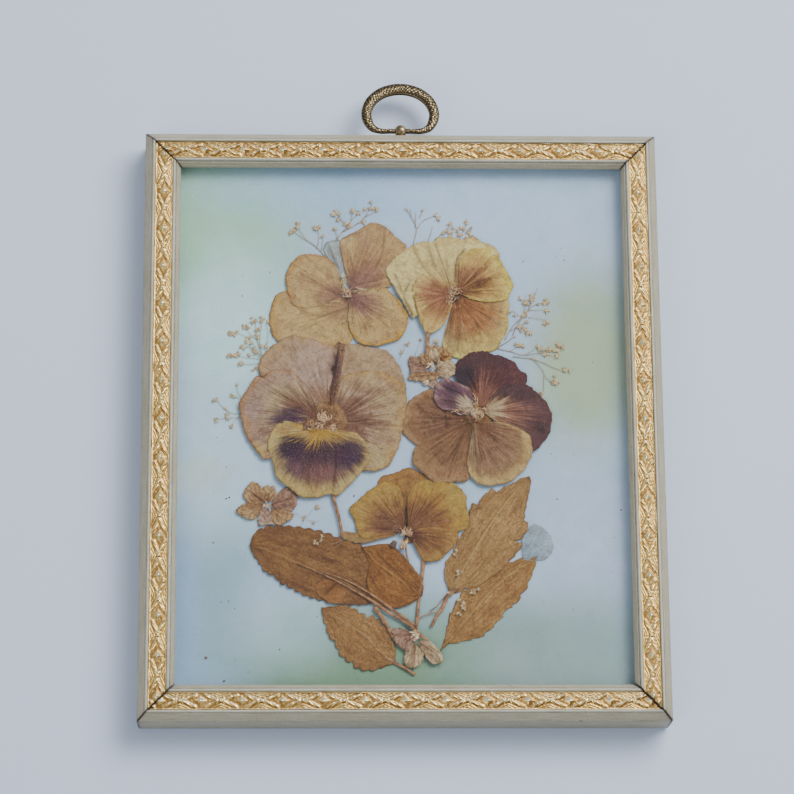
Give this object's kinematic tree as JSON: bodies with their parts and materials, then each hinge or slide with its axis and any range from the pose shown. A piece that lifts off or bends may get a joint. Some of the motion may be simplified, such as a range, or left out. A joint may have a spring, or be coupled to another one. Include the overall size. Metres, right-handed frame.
{
  "type": "pressed flower frame",
  "caption": "Small cream and gilt picture frame with pansies, leaves and twigs pressed between a pale card and the glass, and a swinging brass ring on top.",
  "frame": {"origin": "middle of the brown paper on the back, which the frame lies on", "axes": "+Z out of the picture, +Y up the picture towards the hanging ring, +X to the picture's right"},
  "size_m": [0.1686, 0.2164, 0.016],
  "materials": {
    "board": "plain grey-brown board",
    "kraft": "plain brown paper",
    "floret": "dried florets, tan and pink",
    "glass": "clear, polished",
    "brass": "aged, dull, darkened in the engraving",
    "leaf": "dried leaf, brown",
    "card": "matt, washed with pale blue and green",
    "flower_centre": "dried flower parts, cream",
    "petal_faded": "dried petal, bleached grey",
    "petal_buff": "dried petal, buff",
    "petal_cream": "dried petal, cream yellow",
    "petal_mauve": "dried petal, faded mauve",
    "petal_purple": "dried petal, dark purple",
    "petal_gold": "dried petal, golden tan",
    "painted_rail": "cream paint over moulded wood, gilt pattern along the middle",
    "twig": "dried twig, pale brown with cream buds",
    "stem": "dried stem, brown"
  },
  "bodies": {
    "frame": {"backing_board": "board", "dust_paper": "kraft", "florets_bottom": "floret", "florets_left": "floret", "florets_middle": "floret", "glass_pane": "glass", "leaf_jagged": "leaf", "leaf_large": "leaf", "leaf_lower_left": "leaf", "leaf_lower_right": "leaf", "leaf_round": "leaf", "painted_card": "card", "pansy_1_centre": "flower_centre", "pansy_1_petal_faded": "petal_faded", "pansy_1_petal_lower_left": "petal_buff", "pansy_1_petal_lower_right": "petal_buff", "pansy_1_petal_top": "petal_buff", "pansy_1_petal_upper_left": "petal_buff", "pansy_2_centre": "flower_centre", "pansy_2_petal_bottom": "petal_cream", "pansy_2_petal_left_back": "petal_cream", "pansy_2_petal_left_front": "petal_cream", "pansy_2_petal_right": "petal_cream", "pansy_2_petal_top": "petal_cream", "pansy_3_centre": "flower_centre", "pansy_3_petal_left": "petal_mauve", "pansy_3_petal_lip": "petal_mauve", "pansy_3_petal_right": "petal_mauve", "pansy_3_petal_top_left": "petal_mauve", "pansy_3_petal_top_right": "petal_mauve", "pansy_4_centre": "flower_centre", "pansy_4_petal_left": "petal_mauve", "pansy_4_petal_lower_left": "petal_mauve", "pansy_4_petal_lower_right": "petal_mauve", "pansy_4_petal_right": "petal_purple", "pansy_4_petal_small": "petal_purple", "pansy_4_petal_top": "petal_purple", "pansy_5_centre": "flower_centre", "pansy_5_petal_folded": "petal_gold", "pansy_5_petal_left": "petal_gold", "pansy_5_petal_lower_right": "petal_gold", "pansy_5_petal_right": "petal_gold", "pansy_5_petal_top": "petal_gold", "rail_bottom": "painted_rail", "rail_left": "painted_rail", "rail_right": "painted_rail", "rail_top": "painted_rail", "ring_eye": "brass", "spray_left": "twig", "spray_right": "twig", "spray_top_left": "twig", "spray_top_middle": "twig", "stem_long_lower": "stem", "stem_long_upper": "stem", "stem_pansy_2": "stem", "stem_pansy_3": "stem", "stem_pansy_5": "stem", "stem_right": "stem"},
    "ring": {"hanging_ring": "brass"}
  },
  "joints": [
    {"name": "ring_swing", "type": "hinge", "parent": "frame", "child": "ring", "pos_m": [0, 0.1005, 0.01], "axis": [1, 0, 0], "range_deg": [-80, 105]}
  ]
}
